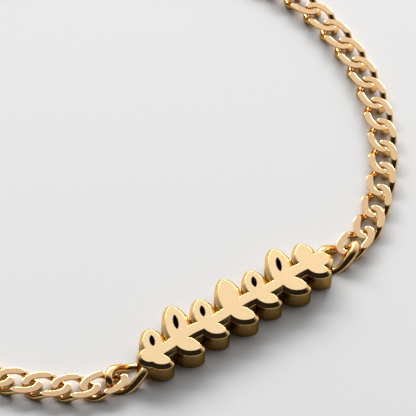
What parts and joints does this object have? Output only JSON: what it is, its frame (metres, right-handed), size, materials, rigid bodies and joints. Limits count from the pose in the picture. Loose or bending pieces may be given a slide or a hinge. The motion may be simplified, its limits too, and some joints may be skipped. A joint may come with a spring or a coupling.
{
  "type": "nameplate bracelet",
  "caption": "Closed curb-chain bracelet laid flat as a loop, with a thick bevelled openwork plate soldered to eyes at its two ends and a plain clasp opposite.",
  "frame": {"origin": "middle of the plate's back, on the surface that the bracelet lies on", "axes": "+X along the plate to its right end as seen from the front, +Y from the plate into the loop, +Z out of the plate's front"},
  "size_m": [0.0645, 0.0593, 0.0021],
  "materials": {
    "plate_gold": "polished yellow gold plate with a fine satin on the flat front",
    "chain_gold": "polished yellow gold plate, ground flat on the links' fronts and backs"
  },
  "bodies": {
    "root": {"nameplate": "plate_gold", "clasp": "chain_gold", "ring_right": "chain_gold", "ring_left": "chain_gold", "link_01": "chain_gold", "link_02": "chain_gold", "link_03": "chain_gold", "link_04": "chain_gold", "link_05": "chain_gold", "link_06": "chain_gold", "link_07": "chain_gold", "link_08": "chain_gold", "link_09": "chain_gold", "link_10": "chain_gold", "link_11": "chain_gold", "link_12": "chain_gold", "link_13": "chain_gold", "link_14": "chain_gold", "link_15": "chain_gold", "link_16": "chain_gold", "link_17": "chain_gold", "link_18": "chain_gold", "link_19": "chain_gold", "link_20": "chain_gold", "link_21": "chain_gold", "link_22": "chain_gold", "link_23": "chain_gold", "link_24": "chain_gold", "link_25": "chain_gold", "link_26": "chain_gold", "link_27": "chain_gold", "link_28": "chain_gold", "link_29": "chain_gold", "link_30": "chain_gold", "link_31": "chain_gold", "link_32": "chain_gold", "link_33": "chain_gold", "link_34": "chain_gold", "link_35": "chain_gold", "link_36": "chain_gold", "link_37": "chain_gold", "link_38": "chain_gold", "link_39": "chain_gold", "link_40": "chain_gold", "link_41": "chain_gold", "link_42": "chain_gold", "link_43": "chain_gold", "link_44": "chain_gold", "link_45": "chain_gold", "link_46": "chain_gold", "link_47": "chain_gold", "link_48": "chain_gold"}
  },
  "joints": []
}
